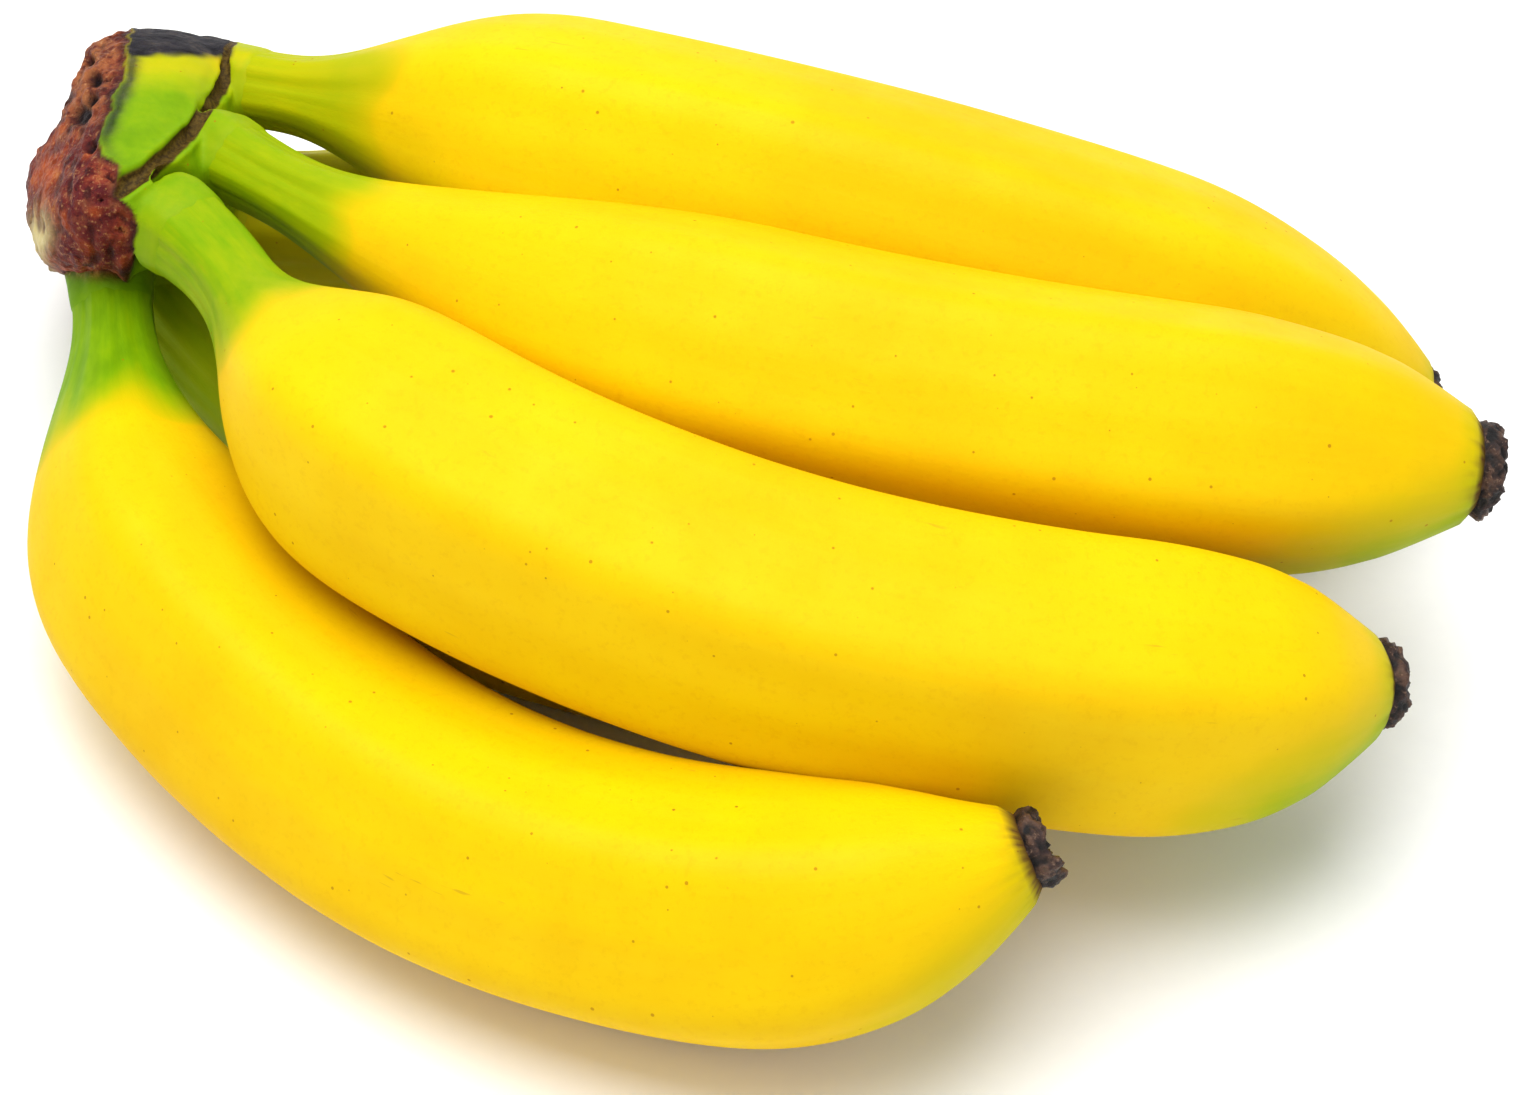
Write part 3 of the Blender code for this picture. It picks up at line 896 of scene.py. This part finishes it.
def skin_material():
    """Peel with worn ridges and a brown edge around its flower end."""
    graph = Graph("banana_peel")
    straight = graph.attribute("straight", "Vector")
    colour, roughness, normal = peel(graph, straight, graph.attribute("green"))
    crest = graph.attribute("crest")
    colour = graph.mix(graph.math("MULTIPLY", crest, 0.10), colour, WORN_CREST)
    stain = graph.attribute("stain")
    colour = graph.mix(stain, colour, STAIN)
    roughness = graph.math("ADD", roughness, graph.math("MULTIPLY", stain, 0.25))
    return graph.finish(
        colour, roughness, normal,
        Subsurface_Weight=0.10, Subsurface_Radius=SCATTER, Subsurface_Scale=2.5 * MM,
        Specular_IOR_Level=0.06, Coat_Weight=0.02, Coat_Roughness=0.30,
    )


def crown_material():
    """Green peel, dried band, seam and cut flesh, each where its mark says."""
    graph = Graph("crown_tissue")
    cut, seam, band = graph.attribute("cut"), graph.attribute("seam"), graph.attribute("band")
    colour, roughness, normal = peel(graph, graph.place, graph.attribute("green"))
    fine = graph.noise(graph.place, 0.7 * MM, 4.0, 0.65)
    medium = graph.noise(graph.place, 2.6 * MM, 3.0, 0.6)
    broad = graph.noise(graph.place, 8 * MM, 2.0, 0.5)
    flesh = graph.ramp(medium, FLESH)
    flesh = graph.mix(graph.range(broad, 0.42, 0.60, 0.0, 0.7), flesh, MAROON)
    dry = graph.math("MULTIPLY", graph.attribute("dry"), graph.range(medium, 0.38, 0.58, 0.15, 0.7))
    flesh = graph.mix(dry, flesh, DRY_FLESH)
    flesh = graph.mix(graph.range(fine, 0.54, 0.72, 0.0, 0.55), flesh, PALE_FLESH)
    flesh = graph.mix(graph.range(fine, 0.46, 0.28, 0.0, 0.8), flesh, DARK_SPECK)
    fibre = graph.attribute("fibre")
    flesh = graph.mix(graph.range(fibre, -0.15, -0.5, 0.0, 0.7), flesh, DARK_FIBRE)
    flesh = graph.mix(graph.math("MULTIPLY", graph.attribute("ember"), 0.42), flesh, EMBER)
    flesh = graph.mix(graph.attribute("cream"), flesh, CREAM)
    flesh = graph.mix(graph.math("MULTIPLY", graph.attribute("rim"), 0.75), flesh, CUT_RIM)
    flesh = graph.mix(graph.attribute("pits"), flesh, PIT)
    dried = graph.ramp(medium, DRIED_BAND)
    colour = graph.mix(band, colour, dried)
    groove = graph.mix(graph.range(fine, 0.3, 0.7), GROOVE_DARK, GROOVE_LIGHT)
    colour = graph.mix(graph.range(seam, 0.15, 0.55), colour, groove)
    colour = graph.mix(cut, colour, flesh)
    rough = graph.math("SUBTRACT", graph.math("MULTIPLY", band, 0.06), graph.math("MULTIPLY", cut, 0.10))
    roughness = graph.math("ADD", roughness, rough)
    tissue = graph.math("MULTIPLY", fine, graph.math("MAXIMUM", cut, band))
    normal = graph.bump(tissue, 0.5 * MM, 0.8, normal)
    return graph.finish(
        colour, roughness, normal,
        Subsurface_Weight=0.10, Subsurface_Radius=SCATTER, Subsurface_Scale=2.0 * MM,
        Specular_IOR_Level=0.09,
    )


def tip_material():
    """Crumbly dark brown tissue, darkest where it is deep: near-black painted shade in its hollows and
    creases.
    """
    graph = Graph("dried_flower_end")
    deep = graph.attribute("deep")
    fine = graph.noise(graph.place, 0.6 * MM, 4.0, 0.7)
    medium = graph.noise(graph.place, 2.2 * MM, 3.0, 0.6)
    colour = graph.ramp(medium, STUB)
    colour = graph.mix(graph.range(fine, 0.54, 0.72, 0.0, 0.55), colour, STUB_PALE)
    # Painted shade: near black where the face is sunk into hollows and creases
    colour = graph.mix(graph.range(deep, 0.05, -0.30), colour, STUB_CREASE_SHADE)
    normal = graph.bump(fine, 0.4 * MM, 0.8)
    return graph.finish(colour, graph.range(fine, 0.3, 0.7, 0.42, 0.7), normal, Specular_IOR_Level=0.3)


# ---------------------------------------------------------------- putting it together


def dress(piece, material, node):
    """Gives a piece its material, hangs it from the root body and hides the node that it stands for."""
    piece.data.materials.clear()
    piece.data.materials.append(material)
    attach(piece, "root")
    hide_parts(node)


skins = [Skin(number) for number in FINGERS]
peel_material, stub_material = skin_material(), tip_material()
for skin in skins:
    dress(make_skin(skin), peel_material, f"finger_{skin.number}")
    dress(make_tip(skin), stub_material, f"tip_{skin.number}")
dress(make_crown(skins), crown_material(), "crown")


# ---------------------------------------------------------------- the studio

FLOOR_SIZE = 6.0
# Where the camera looks, how far up from the horizon it stands, and how far away
AIM = Vector((3.1, 19.9, -0.4)) * MM
CAMERA_RISE = math.radians(45)
CAMERA_DISTANCE = 0.90
SENSOR_WIDTH = 36.0
LENS = 151.5
CLIP_START = 0.02
# Lights as (name, place, size, power in watts)
LIGHTS = (
    ("overhead", (-0.12, 0.05, 1.25), (1.3, 1.2), 22.0),
    ("near_fill", (0.5, -1.1, 0.9), (1.2, 0.8), 1.8),
)
WORLD_COLOUR = (1.0, 1.0, 1.0, 1.0)
WORLD_STRENGTH = 0.60


def make_floor():
    """A pale sheet with a very fine grain."""
    half = FLOOR_SIZE / 2
    corners = np.array(((-half, -half, 0), (half, -half, 0), (half, half, 0), (-half, half, 0)))
    floor = new_object("floor", corners, [(0, 1, 2, 3)])
    graph = Graph("pale_floor")
    grain = graph.noise(graph.place, 3 * MM, 2.0)
    colour = graph.mix(grain, *FLOOR_TINTS)
    normal = graph.bump(grain, 0.02 * MM, 0.2)
    floor.data.materials.append(graph.finish(colour, 0.7, normal, Specular_IOR_Level=0.3))


def make_light(name, place, size, power):
    """A soft rectangle of light that faces the middle of the floor."""
    light = bpy.data.lights.new(name, "AREA")
    light.shape = "RECTANGLE"
    light.size, light.size_y = size
    light.energy = power
    obj = bpy.data.objects.new(name, light)
    bpy.context.scene.collection.objects.link(obj)
    obj.location = place
    obj.rotation_euler = (-Vector(place)).to_track_quat("-Z", "Y").to_euler()


def make_world():
    world = bpy.data.worlds.new("studio")
    world.use_nodes = True
    background = world.node_tree.nodes["Background"]
    background.inputs["Color"].default_value = WORLD_COLOUR
    background.inputs["Strength"].default_value = WORLD_STRENGTH
    bpy.context.scene.world = world


def make_camera():
    camera = bpy.data.objects.new("camera", bpy.data.cameras.new("camera"))
    bpy.context.scene.collection.objects.link(camera)
    camera.data.sensor_width = SENSOR_WIDTH
    camera.data.lens = LENS
    camera.data.clip_start = CLIP_START
    away = Vector((0, -math.cos(CAMERA_RISE), math.sin(CAMERA_RISE)))
    camera.location = AIM + CAMERA_DISTANCE * away
    camera.rotation_euler = (math.radians(90) - CAMERA_RISE, 0, 0)
    bpy.context.scene.camera = camera


make_floor()
for row in LIGHTS:
    make_light(*row)
make_world()
make_camera()
bpy.context.scene.view_settings.view_transform = "Standard"
